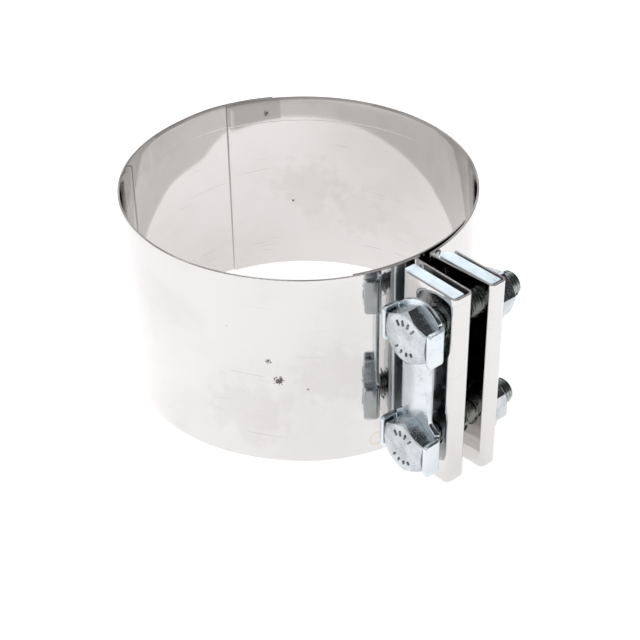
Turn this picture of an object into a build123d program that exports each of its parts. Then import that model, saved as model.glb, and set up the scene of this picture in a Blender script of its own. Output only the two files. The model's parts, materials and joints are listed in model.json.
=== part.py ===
# Pipe repair clamp: a wide stainless band in two strips, lap-joined at the back, with its two ends
# folded round flat bars and drawn together by two hex bolts held in one retainer plate.
# Frame: origin on the axis of the bore at the lower rim, +Z up along the pipe, +X out along the
# ears, +Y along the bolts from the heads to the nuts. Angles run from +X towards +Y.
from build123d import *
from math import asin, cos, degrees, radians, sin, sqrt, tan
import os

# Ring
pipe_diameter = 133.0  # bore of the open clamp
band_width = 80.0
sheet = 0.8
layer_gap = 0.1  # between two layers of sheet

# Lap joint of the two strips at the back, and the bridge plate under the gap
lap_start = 149.3  # end of the near strip, outside
lap_end = 166.1  # end of the far strip, inside
lap_ramp = 24.0  # angle over which the near strip comes down from the lap
bridge_half_angle = 23.5
bridge_ramp = 35.0  # angle over which the near strip climbs onto the bridge plate
ramp_margin = 1.5  # from a ramp to the edge of the sheet that it passes over
far_ease = 60.0  # angle at which the far strip leaves the bore's circle

# Ears
near_leg_y = -3.3  # face of the near ear towards the gap
far_leg_ring_y = 1.4  # face of the far ear towards the gap, at the ring
far_leg_nose_y = 3.6  # the same face at the ear's nose
near_bar_offset = 1.9  # from the ring's outer face to the near bar
far_bar_offset = 3.9  # from the ring's outer face to the far bar
near_slack = 2.2  # between the near bar and its inner leg
far_slack = 0.7  # between the far bar and its flap
near_flap_lip = 2.3  # bar left bare by the near flap
far_flap_lip = 1.8  # bar left bare by the far flap
ring_bend = 0.8  # inside radius of the bend from ring to ear
closing_turn = 1.83  # turn of the far strip as the clamp closes, and tilt of its ear when open

# Flat bars
bar_width = 25.0
bar_thickness = 5.0
bar_edge = 1.0
bar_end_chamfer = 0.4
bar_gap = 0.2  # from a bar to the nose of its ear

# Bolts, nuts and washers
thread = 10.0
shank_undersize = 0.1  # on diameter, for running clearance in the nut
bolt_length = 46.0
bolt_spacing = 48.0
bolt_offset = 0.9  # from the middle of the two bars outwards to the bolts
head_flats = 19.0
nut_flats = 16.0
hex_bevel = 30.0  # angle of the bevel on the hexagons' corners
hex_bevel_inset = 0.475  # from the flats in to the bevel's rim
head_height = 6.4
nut_height = 8.4
bolt_end_chamfer = 1.0
nut_mouth_chamfer = 0.5
washer_edge = 0.4
washer_thickness = 2.5
washer_rim = 6.0  # from the thread's diameter to the washer's edge
washer_clearance = 0.5
bar_hole_clearance = 0.75
sheet_hole_clearance = 1.0
seat_gap = 0.05  # between pieces that slide or turn on each other
upper_nut_turn = 42.0  # direction of one flat, above +X
lower_nut_turn = 68.0

# Bolt retainer
retainer_sheet = 2.0
retainer_hole_clearance = 0.5
retainer_slack = 3.4  # from the retainer to the near ear while the bolts are loose
tab_clearance = 0.65  # also the inside radius of the tabs' bends
tab_height = 13.6
tab_length = 8.0
tab_corner = 1.5
web_width = 13.0
shoulder_height = 4.5

# Places worked out from the sizes
bore_radius = pipe_diameter / 2
over_radius = bore_radius + sheet + layer_gap
ring_outer = over_radius + sheet
loop_bend = bar_edge + bar_gap  # inside radius of the ears' nose corners
bar_reach = bar_width / 2 + bar_gap + sheet  # from a bar's middle to the nose of its ear
near_bar_x = ring_outer + near_bar_offset + bar_width / 2
far_bar_x = ring_outer + far_bar_offset + bar_width / 2
near_bar_y = near_leg_y - sheet - near_slack - bar_thickness / 2
near_flap_y = near_bar_y - bar_thickness / 2 - sheet
bolt_x = (near_bar_x + far_bar_x) / 2 + bolt_offset
bolt_heights = {
    "upper": (band_width + bolt_spacing) / 2,
    "lower": (band_width - bolt_spacing) / 2,
}
shank_radius = (thread - shank_undersize) / 2
washer_radius = thread / 2 + washer_rim
retainer_back = near_flap_y - retainer_slack
head_seat = retainer_back - retainer_sheet
half_retainer = head_flats / 2 + tab_clearance + retainer_sheet

tilt = radians(closing_turn)
far_bar_y = far_leg_nose_y + sheet + bar_thickness / 2 - bar_reach * sin(tilt)
far_flap_offset = bar_thickness / 2 + far_slack + sheet  # from the far bar's middle plane
far_ear = Plane((far_bar_x, far_bar_y, 0), x_dir=(cos(tilt), sin(tilt), 0), z_dir=(0, 0, 1))
flap_under_washer = (bolt_x + washer_radius - far_bar_x) * sin(tilt) + far_flap_offset
washer_seat = far_bar_y + flap_under_washer + seat_gap
nut_seat = washer_seat + washer_thickness + seat_gap


def direction(angle):
    """Unit vector in the ring's plane at an angle from +X."""
    return Vector(cos(radians(angle)), sin(radians(angle)))


def ring_arc(radius, start, end):
    """Arc about the bore's axis."""
    CenterArc((0, 0), radius, start, end - start)


def ring_ramp(start_radius, end_radius, start, end):
    """Two tangent arcs that lead from one circle about the bore's axis to another."""
    half = (end - start) / 2
    shift = (end_radius - start_radius) / (2 * (1 - cos(radians(half))))
    CenterArc(direction(start) * -shift, start_radius + shift, start, half)
    CenterArc(direction(end) * shift, end_radius - shift, start + half, half)


def corners(line, *points):
    """Vertices of a line at the given points."""
    return [min(line.vertices(), key=lambda v: (Vector(v) - Vector(*point)).length) for point in points]


def lay_sheet(line):
    """Close a strip's outline on the side of its line where its ear's nose doesn't grow."""
    outlines = [
        offset(line.line, amount=sheet, side=side, mode=Mode.PRIVATE) for side in (Side.LEFT, Side.RIGHT)
    ]
    add(min(outlines, key=lambda outline: outline.bounding_box().max.X))


def bolt_holes(radius, x, start_y, end_y):
    """Cut a hole for each bolt, along Y, at a distance x from the bore's axis."""
    with BuildSketch(Plane.XZ.offset(-start_y)) as holes:
        with Locations(*[(x, z) for z in bolt_heights.values()]):
            Circle(radius)
    extrude(holes.sketch, amount=start_y - end_y, mode=Mode.SUBTRACT)


# Near strip: over the lap, round the bore, over the bridge plate and round the near bar
near_corner_x = sqrt(over_radius**2 - near_leg_y**2)
near_corner_angle = 360 + degrees(asin(near_leg_y / over_radius))
near_nose_x = near_bar_x + bar_reach
near_flap_x = near_bar_x - bar_width / 2 + near_flap_lip
lap_ramp_start = lap_end + ramp_margin
bridge_ramp_end = 360 - bridge_half_angle - ramp_margin
with BuildPart() as band_near_half:
    with BuildSketch():
        with BuildLine() as near_line:
            ring_arc(over_radius, lap_start, lap_ramp_start)
            ring_ramp(over_radius, bore_radius, lap_ramp_start, lap_ramp_start + lap_ramp)
            ring_arc(bore_radius, lap_ramp_start + lap_ramp, bridge_ramp_end - bridge_ramp)
            ring_ramp(bore_radius, over_radius, bridge_ramp_end - bridge_ramp, bridge_ramp_end)
            ring_arc(over_radius, bridge_ramp_end, near_corner_angle)
            Polyline(
                (near_corner_x, near_leg_y),
                (near_nose_x, near_leg_y),
                (near_nose_x, near_flap_y),
                (near_flap_x, near_flap_y),
            )
            fillet(corners(near_line, (near_corner_x, near_leg_y)), ring_bend + sheet)
            nose = corners(near_line, (near_nose_x, near_leg_y), (near_nose_x, near_flap_y))
            fillet(nose, loop_bend + sheet)
            lay_sheet(near_line)
        make_face()
    extrude(amount=band_width)
    bolt_holes(thread / 2 + sheet_hole_clearance, bolt_x, near_flap_y - sheet, near_leg_y + sheet)

# Far strip: round the far bar, easing in to the bore's circle and under the lap
over_bridge = over_radius + layer_gap / 2
ease_shift = (over_bridge**2 - bore_radius**2) / (
    2 * (bore_radius - over_bridge * cos(radians(far_ease - bridge_half_angle)))
)
ease_centre = direction(far_ease) * -ease_shift
ease_radius = bore_radius + ease_shift
ease_start = degrees(asin((far_leg_ring_y - ease_centre.Y) / ease_radius))
far_corner = ease_centre + direction(ease_start) * ease_radius
far_nose_inner = far_ear.from_local_coords(Vector(bar_reach, -bar_thickness / 2 - sheet))
far_nose_outer = far_ear.from_local_coords(Vector(bar_reach, far_flap_offset))
far_flap_end = far_ear.from_local_coords(Vector(far_flap_lip - bar_width / 2, far_flap_offset))
with BuildPart() as band_far_half:
    with BuildSketch():
        with BuildLine() as far_line:
            Polyline(far_flap_end, far_nose_outer, far_nose_inner, far_corner)
            CenterArc(ease_centre, ease_radius, ease_start, far_ease - ease_start)
            ring_arc(bore_radius, far_ease, lap_end)
            fillet(corners(far_line, far_corner), ring_bend + sheet)
            fillet(corners(far_line, far_nose_outer, far_nose_inner), loop_bend + sheet)
            lay_sheet(far_line)
        make_face()
    extrude(amount=band_width)
    bolt_holes(
        thread / 2 + sheet_hole_clearance, bolt_x, 0, far_bar_y + far_flap_offset + bar_thickness
    )

# Bridge plate: spans the gap between the ears on the inside
with BuildPart() as bridge_plate:
    with BuildSketch():
        with BuildLine():
            ring_arc(bore_radius, -bridge_half_angle, bridge_half_angle)
            offset(amount=sheet, side=Side.RIGHT)
        make_face()
    extrude(amount=band_width)


def clamp_bar(place):
    """Flat bar with two bolt holes, in the ear whose plane is given."""
    across = Plane(place.origin, x_dir=place.x_dir, z_dir=-place.y_dir)
    with BuildPart() as bar:
        with BuildSketch(place):
            RectangleRounded(bar_width, bar_thickness, bar_edge)
        extrude(amount=band_width)
        chamfer(bar.faces().group_by(Axis.Z)[-1].edges(), bar_end_chamfer)
        chamfer(bar.faces().group_by(Axis.Z)[0].edges(), bar_end_chamfer)
        with BuildSketch(across):
            with Locations(*[(bolt_x - place.origin.X, z) for z in bolt_heights.values()]):
                Circle(thread / 2 + bar_hole_clearance)
        extrude(amount=bar_thickness, both=True, mode=Mode.SUBTRACT)
    return bar.part


def hexagon(flats, turn):
    """Hexagon across the bolts, with one flat facing the given angle above +X."""
    RegularPolygon(flats / 2, 6, major_radius=False, rotation=turn + 30)


def bevel_hexagon(plane, flats, height, both_ends):
    """Trim the corners of a hexagon that stands on the plane, as its bevel does."""
    corner_radius = flats / sqrt(3)
    face_radius = flats / 2 - hex_bevel_inset
    drop = (corner_radius - face_radius) * tan(radians(hex_bevel))
    foot = [(face_radius, 0), (corner_radius, drop)] if both_ends else [(corner_radius, 0)]
    rim = [(corner_radius, height - drop), (face_radius, height)]
    with BuildSketch(Plane(plane.origin, x_dir=plane.x_dir, z_dir=-plane.y_dir)) as profile:
        with BuildLine():
            Polyline((0, 0), *foot, *rim, (0, height), close=True)
        make_face()
    revolve(profile.sketch, axis=Axis(plane.origin, plane.z_dir), mode=Mode.INTERSECT)


def hex_bolt(height):
    """Hex bolt with a vertex up, its head on the retainer's front face."""
    seat = Plane((bolt_x, head_seat, height), x_dir=(1, 0, 0), z_dir=(0, -1, 0))
    with BuildPart() as bolt:
        with BuildSketch(seat):
            hexagon(head_flats, 0)
        extrude(amount=head_height)
        bevel_hexagon(seat, head_flats, head_height, both_ends=False)
        with BuildSketch(seat):
            Circle(shank_radius)
        extrude(amount=-bolt_length)
        chamfer(bolt.faces().sort_by(Axis.Y)[-1].edges(), bolt_end_chamfer)
    return bolt.part


def flat_washer(height):
    """Flat washer against the far ear."""
    with BuildPart() as washer:
        with BuildSketch(Plane((bolt_x, washer_seat, height), x_dir=(1, 0, 0), z_dir=(0, 1, 0))):
            Circle(washer_radius)
            Circle(thread / 2 + washer_clearance, mode=Mode.SUBTRACT)
        extrude(amount=washer_thickness)
        chamfer(washer.faces().sort_by(Axis.Y)[-1].outer_wire().edges(), washer_edge)
    return washer.part


def hex_nut(height, turn):
    """Hex nut on the washer, bevelled on both faces, with one flat turned to the given angle."""
    outer_face = Plane((bolt_x, nut_seat + nut_height, height), x_dir=(1, 0, 0), z_dir=(0, -1, 0))
    with BuildPart() as nut:
        with BuildSketch(outer_face):
            hexagon(nut_flats, turn)
        extrude(amount=nut_height)
        bevel_hexagon(outer_face, nut_flats, nut_height, both_ends=True)
        with BuildSketch(outer_face):
            Circle(thread / 2)
        extrude(amount=nut_height, mode=Mode.SUBTRACT)
        chamfer(nut.edges().filter_by(GeomType.CIRCLE).filter_by(is_thread_rim), nut_mouth_chamfer)
    return nut.part


def is_thread_rim(edge):
    """Whether a round edge belongs to a nut's threaded bore."""
    return abs(edge.radius - thread / 2) < layer_gap


# Bolt retainer: one plate under both heads, with a bent tab on each side of each head
front = Plane((bolt_x, retainer_back, 0), x_dir=(1, 0, 0), z_dir=(0, -1, 0))
bend_zone = tab_clearance + retainer_sheet
shoulder_half = half_retainer - tab_clearance
tab_tip = retainer_back - tab_length
shoulder_z = tab_height / 2 + shoulder_height
with BuildPart() as bolt_retainer:
    with BuildSketch(front):
        with Locations(*[(0, z) for z in bolt_heights.values()]):
            Circle(half_retainer)
        for z, inward in ((bolt_heights["upper"], -1), (bolt_heights["lower"], 1)):
            foot, waist = z + inward * tab_height / 2, z + inward * shoulder_z
            Polygon(
                (-shoulder_half, foot),
                (shoulder_half, foot),
                (web_width / 2, waist),
                (-web_width / 2, waist),
                align=None,
            )
        with Locations((0, band_width / 2)):
            Rectangle(web_width, bolt_spacing)
        for side in (-1, 1):
            with Locations(*[(side * (half_retainer - bend_zone / 2), z) for z in bolt_heights.values()]):
                Rectangle(bend_zone, tab_height, mode=Mode.SUBTRACT)
    extrude(amount=retainer_sheet)
    for z in bolt_heights.values():
        with BuildSketch(Plane.XY.offset(z - tab_height / 2)):
            with BuildLine() as channel:
                left, right = bolt_x - half_retainer, bolt_x + half_retainer
                Polyline((left, tab_tip), (left, retainer_back), (right, retainer_back), (right, tab_tip))
                bends = corners(channel, (left, retainer_back), (right, retainer_back))
                fillet(bends, tab_clearance + retainer_sheet)
                offset(amount=retainer_sheet, side=Side.RIGHT)
            make_face()
        extrude(amount=tab_height)
    fillet(bolt_retainer.edges().filter_by(Axis.X).group_by(Axis.Y)[0], tab_corner)
    bolt_holes(thread / 2 + retainer_hole_clearance, bolt_x, tab_tip, retainer_back)

pieces = {
    "band_near_half": band_near_half.part,
    "band_far_half": band_far_half.part,
    "bridge_plate": bridge_plate.part,
    "bolt_retainer": bolt_retainer.part,
    "clamp_bar_near": clamp_bar(Plane((near_bar_x, near_bar_y, 0))),
    "clamp_bar_far": clamp_bar(far_ear),
}
for place, height in bolt_heights.items():
    pieces[f"bolt_{place}"] = hex_bolt(height)
    pieces[f"washer_{place}"] = flat_washer(height)
pieces["nut_upper"] = hex_nut(bolt_heights["upper"], upper_nut_turn)
pieces["nut_lower"] = hex_nut(bolt_heights["lower"], lower_nut_turn)

os.makedirs("parts", exist_ok=True)
for name, piece in pieces.items():
    piece.label = name
    export_step(piece, f"parts/{name}.step")
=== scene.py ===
"""Looks of a two-bolt pipe repair clamp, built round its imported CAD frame.

Sizes are in metres. The frame's origin is on the bore's axis at the lower rim, +Z up, +X out along
the ears, +Y along the bolts from the heads to the nuts. Flat outlines are in the ring's plane.
"""

import json
import logging
import math
from dataclasses import dataclass, field
from enum import Enum, IntEnum
from typing import Iterable, Sequence

import bmesh
import bpy
from mathutils import Matrix, Vector, noise


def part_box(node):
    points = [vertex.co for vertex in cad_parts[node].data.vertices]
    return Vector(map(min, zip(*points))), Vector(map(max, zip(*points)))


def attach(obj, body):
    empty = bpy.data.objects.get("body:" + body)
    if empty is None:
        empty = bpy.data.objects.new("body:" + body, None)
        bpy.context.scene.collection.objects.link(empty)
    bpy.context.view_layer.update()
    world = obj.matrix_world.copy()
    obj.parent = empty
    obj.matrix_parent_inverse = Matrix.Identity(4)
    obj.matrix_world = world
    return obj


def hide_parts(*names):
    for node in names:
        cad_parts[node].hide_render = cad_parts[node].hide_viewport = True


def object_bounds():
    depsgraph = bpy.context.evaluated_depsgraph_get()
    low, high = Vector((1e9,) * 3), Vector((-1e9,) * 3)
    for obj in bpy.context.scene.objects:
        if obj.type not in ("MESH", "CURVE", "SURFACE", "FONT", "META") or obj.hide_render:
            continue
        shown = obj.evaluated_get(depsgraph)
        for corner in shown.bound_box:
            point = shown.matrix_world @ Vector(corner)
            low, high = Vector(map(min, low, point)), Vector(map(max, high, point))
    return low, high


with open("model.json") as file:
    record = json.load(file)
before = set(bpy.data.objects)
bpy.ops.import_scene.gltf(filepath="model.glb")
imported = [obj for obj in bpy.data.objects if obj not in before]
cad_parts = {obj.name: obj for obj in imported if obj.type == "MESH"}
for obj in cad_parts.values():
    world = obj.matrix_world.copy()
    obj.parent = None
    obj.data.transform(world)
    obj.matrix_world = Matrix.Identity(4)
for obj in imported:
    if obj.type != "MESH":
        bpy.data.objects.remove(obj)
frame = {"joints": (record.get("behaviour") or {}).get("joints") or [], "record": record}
CAD_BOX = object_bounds()
log = logging.getLogger("pipe_repair_clamp")

MM = 0.001
TURN = 2 * math.pi
SHARP_ANGLE = 40.0  # edges that turn by more than this many degrees stay sharp
DRILL_FACETS = 72
MITRE_FLOOR = 0.35  # limits how far a sharp corner moves when an outline is inset
NEARLY_STRAIGHT = math.radians(89)  # half angle past which a corner is left alone
WELD_REACH = 0.002 * MM
CUT_REACH = 0.001 * MM


# ---------------------------------------------------------------- shared choices and sizes


class Slot(Enum):
    """Material slots of the record."""

    STAINLESS = "stainless_band"
    ZINC = "zinc_plate"


class Level(Enum):
    """The two bolt levels."""

    UPPER = "upper"
    LOWER = "lower"


class SheetPart(IntEnum):
    """Material indices of a bent strip."""

    FACE = 0
    RIM = 1
    END = 2


class BoltPart(IntEnum):
    """Material indices of a bolt."""

    PLATE = 0
    THREAD = 1
    TICK = 2


class Side(Enum):
    """The two ears: the bolt heads are at the near one and the nuts at the far one."""

    NEAR = "near"
    FAR = "far"


@dataclass(frozen=True)
class Box:
    """Lowest and highest corner of a CAD node."""

    low: Vector
    high: Vector

    @classmethod
    def of(cls, node: str) -> "Box":
        """Box of the named node."""
        low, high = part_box(node)
        return cls(low, high)

    @property
    def centre(self) -> Vector:
        """Middle of the box."""
        return (self.low + self.high) / 2

    @property
    def size(self) -> Vector:
        """Lengths of the box's sides."""
        return self.high - self.low


def joint(name: str) -> dict:
    """The record's joint of that name."""
    return next(entry for entry in frame["joints"] if entry["name"] == name)


def mount(name: str) -> dict:
    """The record's mount of that name."""
    return next(entry for entry in frame["record"]["mounts"] if entry["name"] == name)


def heading(angle: float) -> Vector:
    """Unit vector in the ring's plane, at an angle in radians from +X."""
    return Vector((math.cos(angle), math.sin(angle)))


def right_of(along: Vector) -> Vector:
    """Direction to the right of another in the ring's plane."""
    return Vector((along.y, -along.x))


def angle_of(vector: Vector) -> float:
    """Angle of a vector in the ring's plane, from +X."""
    return math.atan2(vector.y, vector.x)


# ---------------------------------------------------------------- mesh helpers


def as_mesh(name: str, shape: bmesh.types.BMesh) -> bpy.types.Mesh:
    """Mesh of a bmesh, which is freed."""
    mesh = bpy.data.meshes.new(name)
    shape.to_mesh(mesh)
    shape.free()
    return mesh


def add_object(name: str, data: bpy.types.ID) -> bpy.types.Object:
    """New object of some data, linked to the scene."""
    piece = bpy.data.objects.new(name, data)
    bpy.context.scene.collection.objects.link(piece)
    return piece


def finish_mesh(
    name: str, shape: bmesh.types.BMesh, finishes: Sequence["Finish"], sharp_angle: float = SHARP_ANGLE
) -> bpy.types.Object:
    """Turn a bmesh into a shaded object.

    Args:
        name: the piece's name.
        shape: the geometry, freed here.
        finishes: the piece's finishes, in the order of its material indices.
        sharp_angle: edges that turn by more than this many degrees stay sharp.

    Returns:
        The new object, linked to the scene.
    """
    bmesh.ops.recalc_face_normals(shape, faces=shape.faces)
    mesh = as_mesh(name, shape)
    for finish in finishes:
        mesh.materials.append(finish.material())
    mesh.shade_smooth()
    mesh.set_sharp_from_angle(angle=math.radians(sharp_angle))
    return add_object(name, mesh)


def place(piece: bpy.types.Object, body: str, slot: Slot, *nodes: str) -> None:
    """Let a piece ride on a body and stand for its CAD nodes."""
    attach(piece, body)
    if nodes:
        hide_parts(*nodes)
    log.info("%s: %d faces, on %s", piece.name, len(piece.data.polygons), body)


def drill(piece: bpy.types.Object, centres: Iterable[Vector], radius: float, reach: float) -> None:
    """Cut round holes along Y through a piece.

    Args:
        piece: the mesh to cut.
        centres: the middle of each hole.
        radius: the holes' radius.
        reach: how far each cut runs to each side of its centre.
    """
    for centre in centres:
        shape = bmesh.new()
        bmesh.ops.create_cone(
            shape, cap_ends=True, segments=DRILL_FACETS, radius1=radius, radius2=radius, depth=2 * reach,
            matrix=Matrix.Translation(centre) @ Matrix.Rotation(math.pi / 2, 4, "X"),
        )
        cutter = add_object("drill", as_mesh("drill", shape))
        cut = piece.modifiers.new("hole", "BOOLEAN")
        cut.object, cut.operation, cut.solver = cutter, "DIFFERENCE", "EXACT"
        bpy.context.view_layer.update()
        graph = bpy.context.evaluated_depsgraph_get()
        done = bpy.data.meshes.new_from_object(piece.evaluated_get(graph))
        piece.modifiers.clear()
        old, piece.data = piece.data, done
        done.name = old.name
        bpy.data.meshes.remove(old)
        bpy.data.objects.remove(cutter)
    piece.data.set_sharp_from_angle(angle=math.radians(SHARP_ANGLE))


def quarter_round(radius: float, steps: int) -> list[tuple[float, float]]:
    """Insets and depths along a rounded edge, from the face's rim down to the side.

    Args:
        radius: the rounding.
        steps: how many facets it has.

    Returns:
        Pairs of (inset from the side, depth below the face).
    """
    turns = [math.pi / 2 * i / steps for i in range(steps + 1)]
    return [(radius * (1 - math.sin(a)), radius * (1 - math.cos(a))) for a in turns]


def inset_outline(outline: Sequence[Vector], amount: float) -> list[Vector]:
    """Outline moved inwards by an amount; it runs anticlockwise, or clockwise for a hole."""
    moved = []
    count = len(outline)
    for i, here in enumerate(outline):
        before = (here - outline[i - 1]).normalized()
        after = (outline[(i + 1) % count] - here).normalized()
        bisector = before + after
        normal = Vector((-bisector.y, bisector.x)).normalized()
        share = max(MITRE_FLOOR, math.cos(before.angle(after, 0.0) / 2))
        moved.append(here + normal * (amount / share))
    return moved


def skin(shape: bmesh.types.BMesh, rings: Sequence[Sequence[bmesh.types.BMVert]]) -> None:
    """Faces between closed rings of the same count."""
    for lower, upper in zip(rings, rings[1:]):
        for i, corner in enumerate(lower):
            shape.faces.new((lower[i - 1], corner, upper[i], upper[i - 1]))


def plate_mesh(
    outlines: Sequence[Sequence[Vector]], thickness: float, rounding: float, steps: int = 3
) -> bmesh.types.BMesh:
    """Flat plate with rounded edges.

    Args:
        outlines: the rim, anticlockwise, and then each hole, clockwise, in the plate's plane.
        thickness: the plate's thickness, up from zero.
        rounding: radius of its edges.
        steps: facets in each rounded edge.

    Returns:
        The plate, with its outline in X and Y and its thickness in Z.
    """
    shape = bmesh.new()
    profile = quarter_round(rounding, steps)
    levels = profile + [(inset, thickness - depth) for inset, depth in reversed(profile)]
    caps: list[list[bmesh.types.BMEdge]] = [[], []]
    for outline in outlines:
        rings = []
        for inset, height in levels:
            ring = inset_outline(outline, inset) if inset else outline
            rings.append([shape.verts.new((p.x, p.y, height)) for p in ring])
        skin(shape, rings)
        for cap, ring in zip(caps, (rings[0], rings[-1])):
            cap.extend(shape.edges.get((ring[i - 1], ring[i])) for i in range(len(ring)))
    for cap in caps:
        bmesh.ops.triangle_fill(shape, use_beauty=True, use_dissolve=False, edges=cap)
    return shape


def circle(centre: Vector, radius: float, count: int, clockwise: bool = False) -> list[Vector]:
    """Points round a circle."""
    turn = -TURN if clockwise else TURN
    return [centre + heading(turn * i / count) * radius for i in range(count)]


def fillet(outline: Sequence[tuple[Vector, float]], steps: int = 4) -> list[Vector]:
    """Closed outline with its corners rounded.

    Args:
        outline: each corner with its radius; 0 keeps it sharp.
        steps: facets in each rounded corner.

    Returns:
        The outline's points, in the same order.
    """
    points = []
    for i, (corner, radius) in enumerate(outline):
        before = (outline[i - 1][0] - corner).normalized()
        after = (outline[(i + 1) % len(outline)][0] - corner).normalized()
        half = before.angle(after) / 2
        if radius <= 0 or half > NEARLY_STRAIGHT:
            points.append(corner)
            continue
        centre = corner + (before + after).normalized() * (radius / math.sin(half))
        start = corner + before * (radius / math.tan(half)) - centre
        end = corner + after * (radius / math.tan(half)) - centre
        turn = (angle_of(end) - angle_of(start) + math.pi) % TURN - math.pi
        first = angle_of(start)
        points.extend(centre + heading(first + turn * k / steps) * radius for k in range(steps + 1))
    return points


def rectangle(half: Vector, radius: float, steps: int) -> list[Vector]:
    """Rectangle about the origin, anticlockwise, with its corners rounded."""
    signs = ((-1, -1), (1, -1), (1, 1), (-1, 1))
    return fillet([(Vector((half.x * sx, half.y * sy)), radius) for sx, sy in signs], steps)


def stand(shape: bmesh.types.BMesh, origin: Vector, along: Vector) -> None:
    """Stand a flat shape up: its X runs along a direction, its Y up, its Z towards the heads.

    Args:
        shape: the geometry to move.
        origin: where the flat shape's own origin goes.
        along: horizontal direction of the shape's X.
    """
    up = Vector((0, 0, 1))
    axes = Matrix((along, up, along.cross(up))).transposed().to_4x4()
    shape.transform(Matrix.Translation(origin) @ axes)


def absorb(shape: bmesh.types.BMesh, other: bmesh.types.BMesh) -> None:
    """Add another shape's faces to a shape, and free the other."""
    carrier = as_mesh("carrier", other)
    shape.from_mesh(carrier)
    bpy.data.meshes.remove(carrier)


# ---------------------------------------------------------------- finishes


class Nodes:
    """Node tree, with short calls for its most used nodes."""

    def __init__(self, tree: bpy.types.NodeTree) -> None:
        """Work on that tree."""
        self.tree = tree

    def feed(self, socket: bpy.types.NodeSocket, value: object) -> None:
        """Link an output socket to an input, or set the input's value."""
        if isinstance(value, bpy.types.NodeSocket):
            self.tree.links.new(value, socket)
        else:
            socket.default_value = value

    def add(self, kind: str, inputs: dict | None = None, **settings: object) -> bpy.types.Node:
        """Add a node.

        Args:
            kind: the node's type.
            inputs: values or output sockets for its inputs, by name or index.
            settings: the node's own properties.

        Returns:
            The node.
        """
        node = self.tree.nodes.new(kind)
        for key, value in settings.items():
            setattr(node, key, value)
        for key, value in (inputs or {}).items():
            self.feed(node.inputs[key], value)
        return node

    def ramp(self, value: bpy.types.NodeSocket, low: float, high: float, start: float = 0.0,
             end: float = 1.0) -> bpy.types.NodeSocket:
        """Value that runs smoothly from start to end as the input goes from low to high."""
        inputs = {"Value": value, "From Min": low, "From Max": high, "To Min": start, "To Max": end}
        return self.add("ShaderNodeMapRange", inputs, interpolation_type="SMOOTHSTEP").outputs["Result"]

    def math(self, operation: str, first: object, second: object) -> bpy.types.NodeSocket:
        """Result of a calculation with two values."""
        return self.add("ShaderNodeMath", {0: first, 1: second}, operation=operation).outputs["Value"]

    def between(self, place: bpy.types.NodeSocket, point: Vector, operation: str) -> bpy.types.NodeSocket:
        """Number that a vector calculation gives for a place and a fixed point."""
        inputs = {0: place, 1: tuple(point)}
        return self.add("ShaderNodeVectorMath", inputs, operation=operation).outputs["Value"]


class Shader(Nodes):
    """Node tree of one material."""

    def __init__(self, name: str) -> None:
        """Start a material of that name with its Principled shader."""
        self.material = bpy.data.materials.new(name)
        self.material.use_nodes = True
        super().__init__(self.material.node_tree)
        self.surface = self.tree.nodes["Principled BSDF"]
        self.place = self.add("ShaderNodeTexCoord").outputs["Object"]
        self.sheet_place = self.add("ShaderNodeTexCoord").outputs["UV"]

    def noise(self, place: bpy.types.NodeSocket, scale: float, detail: float = 3.0,
              rough: float = 0.55) -> bpy.types.NodeSocket:
        """Noise value at a place."""
        inputs = {"Vector": place, "Scale": scale, "Detail": detail, "Roughness": rough}
        return self.add("ShaderNodeTexNoise", inputs).outputs["Fac"]

    def stretched(self, place: bpy.types.NodeSocket, scale: Sequence[float],
                  turn: float = 0.0) -> bpy.types.NodeSocket:
        """Place, turned about its third axis in degrees and then scaled along each axis."""
        turned = self.add("ShaderNodeVectorRotate",
                          {"Vector": place, "Angle": math.radians(turn)}, rotation_type="Z_AXIS")
        return self.add("ShaderNodeVectorMath", {0: turned.outputs["Vector"], 1: tuple(scale)},
                        operation="MULTIPLY").outputs["Vector"]

    def mix(self, share: bpy.types.NodeSocket, first: object, second: object) -> bpy.types.NodeSocket:
        """Colour that runs from the first to the second with the share."""
        node = self.add("ShaderNodeMix", {0: share, 6: first, 7: second}, data_type="RGBA")
        return node.outputs[2]

    def spot(self, centre: Vector, radius: float, ragged: float) -> bpy.types.NodeSocket:
        """Mask that is 1 within a radius of a point and falls to 0 at a ragged rim.

        Args:
            centre: the middle, in the part's frame.
            radius: the rim's mean radius.
            ragged: how far the rim wanders, as a share of the radius.
        """
        away = self.between(self.place, centre, "DISTANCE")
        wander = self.ramp(self.noise(self.place, 2.2 / radius, 4.0), 0.3, 0.7, -ragged, ragged)
        reach = self.math("ADD", self.math("DIVIDE", away, radius), wander)
        return self.ramp(reach, 0.55, 1.1, 1.0, 0.0)

    def bump(self, height: bpy.types.NodeSocket, depth: float, strength: float = 1.0) -> None:
        """Add relief of a depth in metres under the relief that is there already."""
        inputs = {"Height": height, "Distance": depth, "Strength": strength}
        normal = self.surface.inputs["Normal"]
        if normal.is_linked:
            inputs["Normal"] = normal.links[0].from_socket
        self.tree.links.new(self.add("ShaderNodeBump", inputs).outputs["Normal"], normal)

    def set(self, name: str, value: object) -> None:
        """Set or link one of the surface shader's inputs."""
        self.feed(self.surface.inputs[name], value)


@dataclass(frozen=True)
class Finish:
    """A finish, made into a material once and then shared."""

    name: str

    def material(self) -> bpy.types.Material:
        """The finish's material, built at its first use."""
        found = bpy.data.materials.get(self.name)
        if found is None:
            shader = Shader(self.name)
            self.dress(shader)
            found = shader.material
        return found

    def dress(self, shader: Shader) -> None:
        """Fill in the shader; each kind of finish does it its own way."""
        raise NotImplementedError


@dataclass(frozen=True)
class Mark:
    """A blemish on the ring, at an angle and a height, with its radius."""

    angle: float
    height: float
    radius: float
    outside: bool = True

    def centre(self, layout: "Layout") -> Vector:
        """The mark's middle in the part's frame."""
        radius = layout.over + layout.sheet / 2 if self.outside else layout.bore
        return (heading(math.radians(self.angle)) * radius).to_3d() + Vector((0, 0, self.height))


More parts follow.
